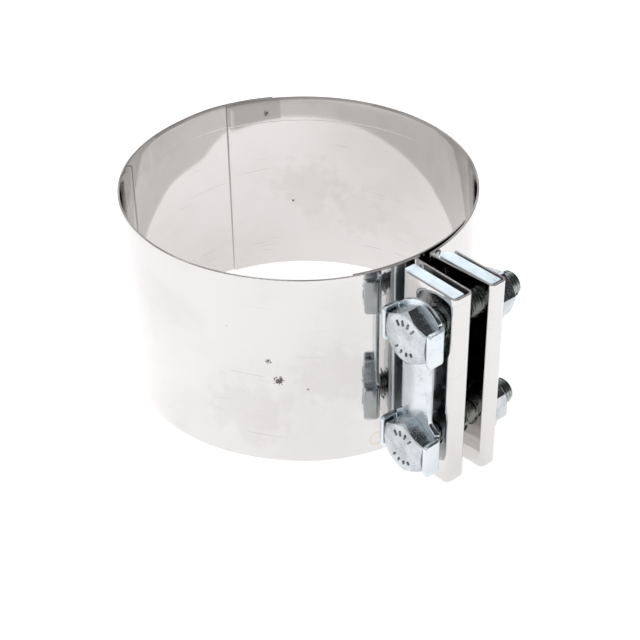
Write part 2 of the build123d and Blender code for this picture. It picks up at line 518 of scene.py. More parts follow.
@dataclass(frozen=True)
class RolledStainless(Finish):
    """Bright rolled sheet with fine grain, handling smudges, long scratches and a few scuffs."""

    layout: "Layout" = field(default=None, compare=False)
    clean: tuple = (0.685, 0.672, 0.664, 1.0)
    smudged: tuple = (0.570, 0.552, 0.538, 1.0)
    scuffed: tuple = (0.060, 0.050, 0.045, 1.0)
    heated: tuple = (0.60, 0.52, 0.36, 1.0)
    scuffs: tuple = (Mark(310.7, 45.2 * MM, 1.1 * MM), Mark(313.8, 37.1 * MM, 1.7 * MM),
                     Mark(322.5, 33.5 * MM, 0.5 * MM), Mark(298.0, 58.0 * MM, 0.5 * MM),
                     Mark(151.9, 73.6 * MM, 1.2 * MM, False), Mark(143.0, 31.0 * MM, 0.5 * MM, False))
    smudges: tuple = (Mark(330.8, 38.4 * MM, 15 * MM), Mark(136.7, 38.4 * MM, 15 * MM, False),
                      Mark(118.0, 27.0 * MM, 12 * MM, False), Mark(305.0, 22.0 * MM, 16 * MM))
    weld: Mark = Mark(344.1, 6.0 * MM, 2.8 * MM)

    def dress(self, shader: Shader) -> None:
        """Colour, gloss and relief of the sheet."""
        grain = shader.noise(shader.stretched(shader.sheet_place, (25, 2600, 1)), 1.0, 4.0)
        cloud = shader.noise(shader.place, 28.0, 4.0, 0.6)
        patch = shader.ramp(cloud, 0.42, 0.72)
        smudge = shader.math("MULTIPLY", patch, 0.28)
        for mark in self.smudges:
            spot = shader.spot(mark.centre(self.layout), mark.radius, 0.35)
            smudge = shader.math("ADD", smudge, shader.math("MULTIPLY", spot, 0.30))
        scratches = self.scratches(shader)
        scuff = shader.math("MULTIPLY", scratches, 0.28)
        for mark in self.scuffs:
            spot = shader.spot(mark.centre(self.layout), mark.radius, 0.6)
            scuff = shader.math("MAXIMUM", scuff, shader.math("MULTIPLY", spot, 0.9))
        colour = shader.mix(smudge, self.clean, self.smudged)
        colour = shader.mix(self.weld_ring(shader), colour, self.heated)
        shader.set("Base Color", shader.mix(scuff, colour, self.scuffed))
        shader.set("Metallic", 1.0)
        dull = shader.math("ADD", shader.ramp(cloud, 0.3, 0.75, 0.03, 0.075),
                           shader.ramp(grain, 0.35, 0.7, 0.0, 0.03))
        shader.set("Roughness", shader.math("ADD", dull, shader.math("MULTIPLY", scuff, 0.35)))
        shader.bump(grain, 0.0000007)
        shader.bump(shader.noise(shader.place, 900.0, 2.0), 0.0000006)
        shader.bump(scratches, -0.000003)

    def scratches(self, shader: Shader) -> bpy.types.NodeSocket:
        """Sparse fine scratches, in two directions."""
        total = None
        for turn, scale, limit in ((3.0, (14, 1500, 1), 0.710), (-9.0, (32, 1900, 1), 0.735)):
            line = shader.noise(shader.stretched(shader.sheet_place, scale, turn), 1.0, 1.0)
            line = shader.ramp(line, limit, limit + 0.035)
            total = line if total is None else shader.math("MAXIMUM", total, line)
        broken = shader.ramp(shader.noise(shader.place, 60.0, 2.0), 0.45, 0.6)
        return shader.math("MULTIPLY", total, broken)

    def weld_ring(self, shader: Shader) -> bpy.types.NodeSocket:
        """Faint heat-tinted ring round the spot weld of the bridge plate."""
        away = shader.between(shader.place, self.weld.centre(self.layout), "DISTANCE")
        inner = shader.ramp(away, self.weld.radius * 0.72, self.weld.radius * 0.95)
        outer = shader.ramp(away, self.weld.radius * 0.98, self.weld.radius * 1.25, 1.0, 0.0)
        return shader.math("MULTIPLY", shader.math("MULTIPLY", inner, outer), 0.55)


@dataclass(frozen=True)
class ShearedEdge(Finish):
    """Cut edge of the sheet: torn metal, darker and duller than its faces."""

    light: tuple = (0.62, 0.58, 0.56, 1.0)
    dark: tuple = (0.27, 0.24, 0.23, 1.0)

    def dress(self, shader: Shader) -> None:
        """Streaks across the cut, and a dull torn stretch here and there."""
        streak = shader.noise(shader.place, 1400.0, 3.0)
        torn = shader.noise(shader.place, 55.0, 3.0)
        share = shader.math("MULTIPLY", shader.ramp(streak, 0.35, 0.65), shader.ramp(torn, 0.3, 0.65))
        shader.set("Base Color", shader.mix(share, self.dark, self.light))
        shader.set("Metallic", 1.0)
        shader.set("Roughness", shader.ramp(streak, 0.3, 0.7, 0.34, 0.5))
        shader.bump(streak, 0.00003)


@dataclass(frozen=True)
class ZincPlate(Finish):
    """Blue-white zinc plating, with soft clouds and small pits.

    Sizes: pits is how many fall on each metre; shine runs from the brightest to the dullest.
    """

    bright: tuple = (0.60, 0.635, 0.66, 1.0)
    dull: tuple = (0.45, 0.475, 0.50, 1.0)
    shine: tuple = (0.17, 0.32)
    pits: float = 1500.0
    pit_depth: float = 0.00012
    relief: float = 0.000005
    cloud: float = 160.0
    tint: tuple = (0.44, 0.45, 0.36, 1.0)
    tinted: float = 0.15

    def dress(self, shader: Shader) -> None:
        """Clouded colour, gloss to match and pitted relief."""
        cloud = shader.noise(shader.place, self.cloud, 5.0, 0.65)
        fine = shader.noise(shader.place, self.cloud * 9, 3.0)
        share = shader.ramp(cloud, 0.34, 0.68)
        colour = shader.mix(share, self.bright, self.dull)
        broad = shader.noise(shader.place, self.cloud * 0.6, 3.0)
        stain = shader.ramp(broad, 0.52, 0.72, 0.0, self.tinted)
        cell = shader.add("ShaderNodeTexVoronoi", {"Vector": shader.place, "Scale": self.pits},
                          feature="F1").outputs["Distance"]
        pitted = shader.math("MULTIPLY", shader.ramp(cell, 0.12, 0.34, 1.0, 0.0),
                             shader.ramp(cloud, 0.5, 0.66))
        colour = shader.mix(stain, colour, self.tint)
        shader.set("Base Color", shader.mix(shader.math("MULTIPLY", pitted, 0.5), colour, self.dull))
        shader.set("Metallic", 1.0)
        shader.set("Roughness", shader.ramp(fine, 0.3, 0.7, *self.shine))
        shader.bump(fine, self.relief)
        shader.bump(pitted, -self.pit_depth)


# ---------------------------------------------------------------- places read from the frame


@dataclass
class Layout:
    """Places that several pieces share: sheet sizes and joint angles, and boxes from the frame."""

    sheet: float = 0.8 * MM
    layer_gap: float = 0.1 * MM
    lap: tuple = (math.radians(149.3), math.radians(166.1))
    lap_ramp: float = math.radians(24.0)
    bridge_half: float = math.radians(23.5)
    bridge_ramp: float = math.radians(35.0)
    ramp_margin: float = math.radians(1.5)
    far_ease: float = math.radians(60.0)
    pitch: float = 1.5 * MM

    def __post_init__(self) -> None:
        """Read the frame."""
        self.bore = mount("pipe_bore")["dims"]["r_mm"] * MM
        self.over = self.bore + self.sheet + self.layer_gap
        self.near_band = Box.of("band_near_half")
        self.width = self.near_band.size.z
        self.near_bar, self.far_bar = Box.of("clamp_bar_near"), Box.of("clamp_bar_far")
        self.tilt = math.radians(joint("clamp_close")["range_deg"][1])
        self.bolts = {level: Box.of(f"bolt_{level.value}") for level in Level}
        self.axis_x = self.bolts[Level.UPPER].centre.x

    def height(self, level: Level) -> float:
        """Height of a bolt's axis."""
        return self.bolts[level].centre.z

    def holes(self, bar: Box) -> list[Vector]:
        """Where the bolts' axes pass a bar's middle plane."""
        return [Vector((self.axis_x, bar.centre.y, self.height(level))) for level in Level]

    def far_point(self, across: float, out: float) -> Vector:
        """Point in the far ear's own directions, from the far bar's middle."""
        along = heading(self.tilt)
        middle = self.far_bar.centre.to_2d()
        return middle + along * across + Vector((-along.y, along.x)) * out


# ---------------------------------------------------------------- bent sheet


class SheetPath:
    """Line along one face of a bent strip, with the direction into the sheet at each station."""

    SAME_PLACE = 0.01 * MM  # stations nearer than this are one
    TIGHT_BEND = 5 * MM  # bends of a smaller radius are divided by angle only
    TURN_SPARE = 0.001  # radians added to each step of a wide arc

    def __init__(self, step: float = 1.4 * MM, bend_step: float = math.radians(10)) -> None:
        """Start an empty line; stations are a step apart, or a turn of bend_step in bends."""
        self.step, self.bend_step = step, bend_step
        self.points: list[Vector] = []
        self.inward: list[Vector] = []

    def add(self, point: Vector, inward: Vector) -> None:
        """Add a station unless one is there already."""
        if not self.points or (point - self.points[-1]).length > self.SAME_PLACE:
            self.points.append(point.copy())
            self.inward.append(inward.normalized())

    def arc(self, centre: Vector, radius: float, start: float, sweep: float) -> None:
        """Follow an arc; the sheet is outside it where the sweep is positive, and inside otherwise."""
        wide_turn = min(self.bend_step, self.step / radius + self.TURN_SPARE)
        turn = self.bend_step if radius < self.TIGHT_BEND else wide_turn
        turns = max(2, math.ceil(abs(sweep) / turn))
        side = 1 if sweep > 0 else -1
        for i in range(turns + 1):
            out = heading(start + sweep * i / turns)
            self.add(centre + out * radius, out * side)

    def line(self, start: Vector, end: Vector) -> None:
        """Follow a straight run with the sheet on its right."""
        along = (end - start).normalized()
        right = right_of(along)
        count = max(1, math.ceil((end - start).length / self.step))
        for i in range(count + 1):
            self.add(start.lerp(end, i / count), right)

    def right_turn(self, centre: Vector, radius: float, before: Vector, after: Vector) -> None:
        """Follow a bend to the right about a centre, from one right-hand direction to another."""
        start = angle_of(-before)
        sweep = (angle_of(-after) - start) % TURN - TURN
        self.arc(centre, radius, start, sweep)

    @staticmethod
    def corner(start: Vector, corner: Vector, end: Vector, radius: float) -> tuple[Vector, Vector, Vector]:
        """Rounded right-hand corner between two straight runs.

        Returns:
            The bend's centre, and the right-hand directions before and after it.
        """
        first, second = (corner - start).normalized(), (end - corner).normalized()
        before, after = right_of(first), right_of(second)
        reach = radius / math.cos(before.angle(after) / 2)
        return corner + (before + after).normalized() * reach, before, after

    @staticmethod
    def ring_corner(centre: Vector, ring: float, foot: Vector, along: Vector, radius: float) -> Vector:
        """Centre of the bend between a ring and an ear's leg.

        Args:
            centre: the ring circle's centre.
            ring: the ring circle's radius.
            foot: a point of the leg's line.
            along: the direction of travel on the leg.
            radius: the bend's radius on this face.
        """
        base = foot + right_of(along) * radius - centre
        half = base.dot(along)
        root = math.sqrt(half * half - base.length_squared + (ring + radius) ** 2)
        near, far = sorted((-half - root, -half + root), key=abs)
        reach = far if (centre + base + along * near - foot).length > ring else near
        return centre + base + along * reach


@dataclass
class SheetStrip:
    """Mesh of a bent strip of sheet, with rounded cut edges and a score line near each rim."""

    layout: Layout
    rounding: float = 0.14 * MM
    row: float = 3.2 * MM
    score_inset: float = 10.5 * MM
    score_half: float = 0.12 * MM
    score_depth: float = 0.028 * MM
    wave: float = 0.05 * MM
    wave_length: float = 34 * MM
    wave_fade: float = 12.0

    FACE_STEP = 0.1 * MM  # largest change of depth along one face
    END_ANGLES = (75, 45, 20)  # where the rounding of an end has its sections, in degrees

    def heights(self) -> list[tuple[float, float]]:
        """Rows up a face, each with the depth of its score line."""
        low, high = self.rounding, self.layout.width - self.rounding
        count = math.ceil((high - low) / self.row)
        rows = [(low + (high - low) * i / count, 0.0) for i in range(count + 1)]
        for middle in (self.score_inset, self.layout.width - self.score_inset):
            rows = [row for row in rows if abs(row[0] - middle) > 3 * self.score_half]
            rows += [(middle + self.score_half * step, 0.0 if step else self.score_depth)
                     for step in (-2, -1, 0, 1, 2)]
        return sorted(rows)

    def section(self) -> list[tuple[float, float, float, float, bool]]:
        """Points round the strip's thin section.

        Returns:
            Depth, height, the two parts of the direction to the rim, and whether it's on a face.
        """
        sheet, width, r = self.layout.sheet, self.layout.width, self.rounding
        rows = self.heights()
        near, far = (0.0, math.pi / 6, math.pi / 3), (math.pi / 6, math.pi / 3, math.pi / 2)
        points = [(score, z, -1.0 if not score else 0.0, 0.0, True) for z, score in rows]
        points += [(r - r * math.cos(a), width - r + r * math.sin(a), -math.cos(a), math.sin(a), False)
                   for a in far]
        points += [(sheet - r + r * math.sin(a), width - r + r * math.cos(a),
                    math.sin(a), math.cos(a), False) for a in near]
        points += [(sheet - score, z, 1.0 if not score else 0.0, 0.0, True)
                   for z, score in reversed(rows)]
        points += [(sheet - r + r * math.cos(a), r - r * math.sin(a), math.cos(a), -math.sin(a), False)
                   for a in far]
        points += [(r - r * math.sin(a), r - r * math.cos(a), -math.sin(a), -math.cos(a), False)
                   for a in near]
        return points

    def swell(self, point: Vector, height: float, free: Sequence[tuple[float, float]]) -> float:
        """Slight waviness of the sheet where nothing backs it.

        Args:
            point: a station in the ring's plane.
            height: height up the strip.
            free: stretches of the ring, in degrees, where the sheet may wave.
        """
        angle = math.degrees(angle_of(point)) % 360
        fade = 0.0
        for start, end in free:
            fade = max(fade, min(1.0, (angle - start) / self.wave_fade, (end - angle) / self.wave_fade))
        if fade <= 0:
            return 0.0
        spot = Vector((point.x, point.y, height)) / self.wave_length
        return self.wave * fade * noise.noise(spot)

    def build(self, path: SheetPath, free: Sequence[tuple[float, float]]) -> bmesh.types.BMesh:
        """Sheet along a path.

        Args:
            path: the line along one face.
            free: stretches of the ring, in degrees, where the sheet may wave.

        Returns:
            The strip, with the material indices of SheetPart.
        """
        shape = bmesh.new()
        layer = shape.loops.layers.uv.new("sheet")
        section = self.section()
        stations = self.stations(path)
        rings, lengths = [], []
        for point, inward, inset, length in stations:
            ring = []
            for depth, z, to_depth, to_z, _ in section:
                d, h = depth - to_depth * inset, z - to_z * inset
                spot = point + inward * (d + self.swell(point, h, free))
                ring.append(shape.verts.new((spot.x, spot.y, h)))
            rings.append(ring)
            lengths.append(length)
        for k, (first, second) in enumerate(zip(rings, rings[1:])):
            for i in range(len(section)):
                j = (i + 1) % len(section)
                face = shape.faces.new((first[i], first[j], second[j], second[i]))
                flat = (section[i][4] and section[j][4]
                        and abs(section[i][0] - section[j][0]) < self.FACE_STEP)
                at_end = stations[k][2] > 0 or stations[k + 1][2] > 0
                whole = SheetPart.END if at_end else SheetPart.FACE
                face.material_index = whole if flat else SheetPart.RIM
                for loop, (length, z) in zip(face.loops, (
                        (lengths[k], first[i].co.z), (lengths[k], first[j].co.z),
                        (lengths[k + 1], second[j].co.z), (lengths[k + 1], second[i].co.z))):
                    loop[layer].uv = (length, z)
        for ring in (rings[0], rings[-1]):
            self.close_end(shape, ring, section)
        return shape

    def stations(self, path: SheetPath) -> list[tuple[Vector, Vector, float, float]]:
        """Stations of a path, with its two ends drawn in as rounded edges.

        Returns:
            Point, direction into the sheet, how far the section is inset, and length so far.
        """
        edge = [(self.rounding * (1 - math.sin(a)), self.rounding * (1 - math.cos(a)))
                for a in map(math.radians, self.END_ANGLES)]
        points, inward = path.points, path.inward
        result = []
        start = (points[1] - points[0]).normalized()
        finish = (points[-2] - points[-1]).normalized()
        result += [(points[0] + start * away, inward[0], inset, 0.0) for away, inset in edge]
        result.append((points[0] + start * self.rounding, inward[0], 0.0, 0.0))
        length = 0.0
        for i in range(1, len(points) - 1):
            length += (points[i] - points[i - 1]).length
            result.append((points[i], inward[i], 0.0, length))
        result.append((points[-1] + finish * self.rounding, inward[-1], 0.0, length + self.row))
        result += [(points[-1] + finish * away, inward[-1], inset, length + self.row)
                   for away, inset in reversed(edge)]
        return result

    @staticmethod
    def close_end(shape: bmesh.types.BMesh, ring: Sequence[bmesh.types.BMVert],
                  section: Sequence[tuple]) -> None:
        """Close one end of the strip with a row of faces across the sheet."""
        count = len(ring)
        faces = sum(1 for point in section if point[4]) // 2
        corner = (count - 2 * faces) // 2
        pairs = [(i, (count - corner - 1 - i) % count) for i in range(faces)]
        for (a, b), (c, d) in zip(pairs, pairs[1:]):
            shape.faces.new((ring[a], ring[c], ring[d], ring[b])).material_index = SheetPart.END
        top, bottom = pairs[-1], pairs[0]
        upper = [ring[i] for i in range(top[0], top[1] + 1)]
        lower = [ring[i % count] for i in range(bottom[1], bottom[0] + count + 1)]
        for rim in (upper, lower):
            shape.faces.new(rim).material_index = SheetPart.RIM


@dataclass
class Band:
    """The two strips of the band and the bridge plate under its gap."""

    layout: Layout
    strip: SheetStrip
    stainless: Finish
    # darker copy of the stainless: painted shade for the recessed bridge plate
    shaded_bridge_stainless: Finish
    edge: Finish
    # finish of the strips' cut ends, coloured near-white as a painted highlight
    end_highlight: Finish
    near_leg_y: float = -3.3 * MM
    far_leg_ring_y: float = 1.4 * MM
    near_flap_lip: float = 2.3 * MM
    far_flap_lip: float = 1.8 * MM
    far_slack: float = 0.7 * MM
    bend: float = 0.8 * MM
    nose_bend: float = 1.2 * MM
    hole: float = 6.0 * MM
    hole_reach: float = 6.5 * MM
    near_free: tuple = ((196, 300),)
    far_free: tuple = ((64, 146),)

    def near_path(self) -> SheetPath:
        """Outside the lap, round the bore, over the bridge plate and round the near bar."""
        lay = self.layout
        ring = Vector((0, 0))
        path = SheetPath()
        ramp = lay.lap[1] + lay.ramp_margin
        climb = TURN - lay.bridge_half - lay.ramp_margin
        path.arc(ring, lay.over, lay.lap[0], ramp - lay.lap[0])
        self.ramp(path, lay.over, lay.bore, ramp, lay.lap_ramp)
        path.arc(ring, lay.bore, ramp + lay.lap_ramp, climb - lay.bridge_ramp - ramp - lay.lap_ramp)
        self.ramp(path, lay.bore, lay.over, climb - lay.bridge_ramp, lay.bridge_ramp)
        nose_x = lay.near_band.high.x
        flap_y = lay.near_bar.low.y - lay.sheet
        flap_x = lay.near_bar.low.x + self.near_flap_lip
        along = Vector((1, 0))
        foot = Vector((lay.over, self.near_leg_y))
        radius = self.bend + lay.sheet
        centre = path.ring_corner(ring, lay.over, foot, along, radius)
        path.arc(ring, lay.over, climb, angle_of(centre) + TURN - climb)
        path.right_turn(centre, radius, centre - ring, Vector((0, -1)))
        corners = [Vector((centre.x, self.near_leg_y)), Vector((nose_x, self.near_leg_y)),
                   Vector((nose_x, flap_y)), Vector((flap_x, flap_y))]
        self.follow(path, corners)
        return path

    def far_path(self) -> SheetPath:
        """Round the far bar, easing in to the bore's circle and under the lap."""
        lay = self.layout
        path = SheetPath()
        over = lay.over + lay.layer_gap / 2
        shift = (over**2 - lay.bore**2) / (2 * (lay.bore - over * math.cos(lay.far_ease - lay.bridge_half)))
        ease, ease_radius = heading(lay.far_ease) * -shift, lay.bore + shift
        start = math.asin((self.far_leg_ring_y - ease.y) / ease_radius)
        ring_end = ease + heading(start) * ease_radius
        half = lay.near_bar.size.y / 2
        nose = lay.near_band.high.x - lay.near_bar.centre.x
        flap = half + self.far_slack + lay.sheet
        corners = [lay.far_point(self.far_flap_lip - lay.near_bar.size.x / 2, flap),
                   lay.far_point(nose, flap), lay.far_point(nose, -half - lay.sheet), ring_end]
        along = (corners[3] - corners[2]).normalized()
        radius = self.bend + lay.sheet
        centre = path.ring_corner(ease, ease_radius, corners[3], along, radius)
        right = right_of(along)
        corners[3] = centre - right * radius
        self.follow(path, corners)
        path.right_turn(centre, radius, right, centre - ease)
        leave = angle_of(centre - ease)
        path.arc(ease, ease_radius, leave, lay.far_ease - leave)
        path.arc(Vector((0, 0)), lay.bore, lay.far_ease, lay.lap[1] - lay.far_ease)
        return path

    def follow(self, path: SheetPath, corners: Sequence[Vector]) -> None:
        """Follow straight runs joined by bends of the nose's radius."""
        radius = self.nose_bend + self.layout.sheet
        here = corners[0]
        for before, corner, after in zip(corners, corners[1:], corners[2:]):
            centre, first, second = path.corner(before, corner, after, radius)
            path.line(here, centre - first * radius)
            path.right_turn(centre, radius, first, second)
            here = centre - second * radius
        path.line(here, corners[-1])

    @staticmethod
    def ramp(path: SheetPath, first: float, second: float, start: float, sweep: float) -> None:
        """Two tangent arcs from one circle about the bore's axis to another."""
        shift = (second - first) / (2 * (1 - math.cos(sweep / 2)))
        path.arc(heading(start) * -shift, first + shift, start, sweep / 2)
        path.arc(heading(start + sweep) * shift, second - shift, start + sweep / 2, sweep / 2)

    def bridge_path(self) -> SheetPath:
        """Across the gap between the ears, inside."""
        path = SheetPath()
        half = self.layout.bridge_half
        path.arc(Vector((0, 0)), self.layout.bore, -half, 2 * half)
        return path

    def build(self) -> None:
        """Make the three pieces of sheet."""
        lay = self.layout
        finishes = (self.stainless, self.edge, self.end_highlight)
        near = finish_mesh("near_strip", self.strip.build(self.near_path(), self.near_free), finishes)
        drill(near, lay.holes(lay.near_bar), self.hole, self.hole_reach)
        place(near, "near_half", Slot.STAINLESS, "band_near_half")
        far = finish_mesh("far_strip", self.strip.build(self.far_path(), self.far_free), finishes)
        drill(far, lay.holes(lay.far_bar), self.hole, self.hole_reach)
        place(far, "far_half", Slot.STAINLESS, "band_far_half")
        bridge = finish_mesh("bridge_sheet", self.strip.build(self.bridge_path(), ()),
                             (self.shaded_bridge_stainless, self.edge, self.end_highlight))
        place(bridge, "bridge", Slot.STAINLESS, "bridge_plate")


# ---------------------------------------------------------------- bars


@dataclass
class ClampBars:
    """Flat bars that the ears are folded round."""

    layout: Layout
    zinc: Finish
    edge: float = 1.0 * MM
    end_rounding: float = 0.35 * MM
    hole: float = 5.75 * MM

    def build(self, side: Side) -> None:
        """Make one bar, with its two bolt holes."""
        lay = self.layout
        box = lay.near_bar if side is Side.NEAR else lay.far_bar
        tilt = 0.0 if side is Side.NEAR else lay.tilt
        half = Vector((lay.near_bar.size.x / 2, lay.near_bar.size.y / 2))
        shape = plate_mesh([rectangle(half, self.edge, 5)], lay.width, self.end_rounding)
        middle = Vector((box.centre.x, box.centre.y, 0))
        shape.transform(Matrix.Translation(middle) @ Matrix.Rotation(tilt, 4, "Z"))
        piece = finish_mesh(f"{side.value}_flat_bar", shape, (self.zinc,))
        drill(piece, lay.holes(box), self.hole, lay.near_bar.size.y)
        place(piece, f"{side.value}_half", Slot.ZINC, f"clamp_bar_{side.value}")


# ---------------------------------------------------------------- bolts, nuts and washers


@dataclass
class HexShape:
    """Hexagon with slightly rounded corners and a bevel inside its flats."""

    flats: float = 19.0 * MM
    corner: float = 0.45 * MM
    bevel_inset: float = 0.475 * MM
    bevel: float = math.radians(30.0)
    soft: float = 0.16 * MM
    corner_steps: int = 5
    flat_steps: int = 11

    BEVEL_SHARES = (0.18, 0.6)  # how far across the bevel its two inner rings are

    def outline(self, turn: float) -> list[Vector]:
        """Rim points, anticlockwise, with one flat facing the given angle."""
        reach = (self.flats / 2 - self.corner) / math.cos(math.pi / 6)
        points = []
        for side in range(6):
            vertex = turn + (side + 0.5) * math.pi / 3
            centre = heading(vertex) * reach
            arc = [centre + heading(vertex + math.pi / 3 * (i / self.corner_steps - 0.5)) * self.corner
                   for i in range(self.corner_steps + 1)]
            follow = heading(vertex + math.pi / 3) * reach + heading(vertex + math.pi / 6) * self.corner
            points += arc
            points += [arc[-1].lerp(follow, i / self.flat_steps) for i in range(1, self.flat_steps)]
        return points

    def drop(self, radius: float) -> float:
        """How far the bevel is below the face at a distance from the axis."""
        return max(0.0, radius - (self.flats / 2 - self.bevel_inset)) * math.tan(self.bevel)

    def bevelled(self, outline: Sequence[Vector]) -> list[list[tuple[Vector, float]]]:
        """Rings from the side to the face.

        Returns:
            For each ring, its points and how far each is below the face.
        """
        rim = self.flats / 2 - self.bevel_inset
        rings = [[(p, self.drop(p.length) + self.soft) for p in outline]]
        for share in self.BEVEL_SHARES:
            ring = [p.lerp(p.normalized() * rim, share) for p in outline]
            rings.append([(p, self.drop(p.length)) for p in ring])
        crest = rim + self.soft / 2
        rings.append([(p.normalized() * crest, self.drop(crest)) for p in outline])
        rings.append([(p.normalized() * (rim - self.soft), 0.0) for p in outline])
        return rings


@dataclass
class HexBolt:
    """Fully threaded hex bolt with generic raised ticks on its head."""

    layout: Layout
    hexagon: HexShape
    zinc: Finish
    # darker olive zinc of the threads: olive stain plus painted shade of the gap between the ears
    shaded_thread_zinc: Finish
    # much darker zinc colour for the head's ticks
    dark_tick_zinc: Finish
    level: Level
    head_height: float = 6.4 * MM
    seat_edge: float = 0.15 * MM
    thread_radius: float = 4.95 * MM
    thread_depth: float = 0.87 * MM
    end_chamfer: float = 1.0 * MM
    tick: tuple = (2.3 * MM, 0.8 * MM, 0.6 * MM)
    tick_out: float = 0.4 * MM
    tick_ring: float = 6.1 * MM
    tick_angles: tuple = (52, 76, 100, 124, 232, 256, 280, 304)

    TICK_CORNER = 0.45  # radius of a tick's corners, as a share of its breadth
    TICK_EDGE = 0.4  # rounding of a tick's edges, as a share of its thickness
    # phase of the thread's pitch, and how deep it is there, as a share of its depth
    KNOTS = ((0.0, 1.0), (0.06, 0.99), (0.125, 0.94), (0.28, 0.47), (0.4375, 0.0), (0.5625, 0.0),
             (0.72, 0.47), (0.875, 0.94), (0.94, 0.99), (1.0, 1.0))

    def thread_at(self, phase: float) -> float:
        """Radius of the thread at a phase of its pitch."""
        phase %= 1.0
        for (low, deep), (high, deeper) in zip(self.KNOTS, self.KNOTS[1:]):
            if phase <= high:
                share = (phase - low) / (high - low)
                return self.thread_radius - self.thread_depth * (deep + (deeper - deep) * share)
        return self.thread_radius

    def thread(self, shape: bmesh.types.BMesh, angles: Sequence[float], seat: float, end: float) -> None:
        """Helical thread from the head's seat to the bolt's end, closed by a flat end.

        Args:
            shape: where the faces go.
            angles: directions of the columns round the bolt, starting at the lowest.
            seat: Y of the head's seat.
            end: Y of the bolt's end.
        """
        pitch = self.layout.pitch
        turns = math.ceil((end - seat) / pitch) + 2
        phases = [turn + knot for turn in range(turns) for knot, _ in self.KNOTS[:-1]]
        per_turn = len(self.KNOTS) - 1
        height = self.layout.height(self.level)
        rows = []
        for phase in phases:
            row = []
            for angle in angles:
                y = min(end, max(seat, seat + pitch * (phase - angle / TURN)))
                radius = self.thread_at((y - seat) / pitch + angle / TURN)
                radius = min(radius, self.thread_radius - self.end_chamfer + end - y)
                spot = heading(angle) * radius
                row.append(shape.verts.new((self.layout.axis_x + spot.x, y, height + spot.y)))
            rows.append(row)
        count = len(angles)
        for i in range(len(rows) - 1):
            for j in range(count):
                if j + 1 < count:
                    corners = (rows[i][j], rows[i][j + 1], rows[i + 1][j + 1], rows[i + 1][j])
                else:
                    after, before = max(i + 1 - per_turn, 0), max(i - per_turn, 0)
                    if after == before:
                        continue
                    corners = (rows[i][j], rows[before][0], rows[after][0], rows[i + 1][j])
                shape.faces.new(corners).material_index = BoltPart.THREAD
        shape.faces.new(rows[-1]).material_index = BoltPart.THREAD

    def head(self, shape: bmesh.types.BMesh, outline: Sequence[Vector], seat: float) -> None:
        """Hexagon head from its seat, joined to the thread's first section, to its face."""
        height = self.layout.height(self.level)

        def ring(points: Iterable[tuple[Vector, float]]) -> list[bmesh.types.BMVert]:
            """Vertices at points, each a distance in front of the seat."""
            return [shape.verts.new((self.layout.axis_x + p.x, seat - out, height + p.y))
                    for p, out in points]

        neck = [heading(angle_of(p) % TURN) * self.thread_at((angle_of(p) % TURN) / TURN) for p in outline]
        rings = [ring((p, 0.0) for p in neck)]
        rings.append(ring((p * (1 - self.seat_edge / p.length), 0.0) for p in outline))
        rings.append(ring((p, self.seat_edge) for p in outline))
        rings += [ring((p, self.head_height - below) for p, below in points)
                  for points in self.hexagon.bevelled(outline)]
        rings.append(ring((p.normalized() * self.tick_ring * 0.5, self.head_height) for p in outline))
        skin(shape, rings)
        shape.faces.new(rings[-1])
        bmesh.ops.remove_doubles(shape, verts=shape.verts, dist=WELD_REACH)

    def ticks(self, shape: bmesh.types.BMesh, front: float) -> None:
        """Short raised ticks on the head's face."""
        length, breadth, raised = self.tick
        sunk = raised - self.tick_out
        for degrees in self.tick_angles:
            half = Vector((length / 2 if degrees < 180 else length / 3, breadth / 2))
            outline = rectangle(half, breadth * self.TICK_CORNER, 3)
            tick = plate_mesh([outline], raised, raised * self.TICK_EDGE, 2)
            turn = Matrix.Rotation(math.radians(degrees), 4, "Z")
            tick.transform(turn @ Matrix.Translation((self.tick_ring, 0, 0)))
            origin = Vector((self.layout.axis_x, front + sunk, self.layout.height(self.level)))
            stand(tick, origin, Vector((1, 0, 0)))
            for face in tick.faces:
                face.material_index = BoltPart.TICK
            absorb(shape, tick)

    def build(self) -> None:
        """Make the bolt."""
        box = self.layout.bolts[self.level]
        seat = box.low.y + self.head_height
        outline = sorted(self.hexagon.outline(0.0), key=lambda p: angle_of(p) % TURN)
        shape = bmesh.new()
        self.thread(shape, [angle_of(p) % TURN for p in outline], seat, box.high.y)
        self.head(shape, outline, seat)
        self.ticks(shape, box.low.y)
        name = f"{self.level.value}_hex_bolt"
        piece = finish_mesh(name, shape, (self.zinc, self.shaded_thread_zinc, self.dark_tick_zinc), 32)
        place(piece, "bolts", Slot.ZINC, f"bolt_{self.level.value}")


@dataclass
class HexNut:
    """Hex nut, bevelled on both faces, with a countersunk bore."""

    layout: Layout
    hexagon: HexShape
    zinc: Finish
    level: Level
    turn: float
    bore: float = 5.03 * MM
    mouth: float = 0.5 * MM

    def build(self) -> None:
        """Make the nut."""
        box = Box.of(f"nut_{self.level.value}")
        middle, half = box.centre, box.size.y / 2
        outline = self.hexagon.outline(self.turn)
        face = [[(p, half - below) for p, below in ring] for ring in self.hexagon.bevelled(outline)]
        mouth = [[(p.normalized() * (self.bore + self.mouth), half) for p in outline],
                 [(p.normalized() * self.bore, half - self.mouth) for p in outline]]
        upper = face + mouth
        lower = [[(p, -out) for p, out in ring] for ring in reversed(upper)]
        shape = bmesh.new()
        rings = [[shape.verts.new((middle.x + p.x, middle.y + out, middle.z + p.y)) for p, out in ring]
                 for ring in lower + upper]
        skin(shape, rings + rings[:1])
        piece = finish_mesh(f"{self.level.value}_hex_nut", shape, (self.zinc,), 32)
        place(piece, f"nut_{self.level.value}", Slot.ZINC, f"nut_{self.level.value}")


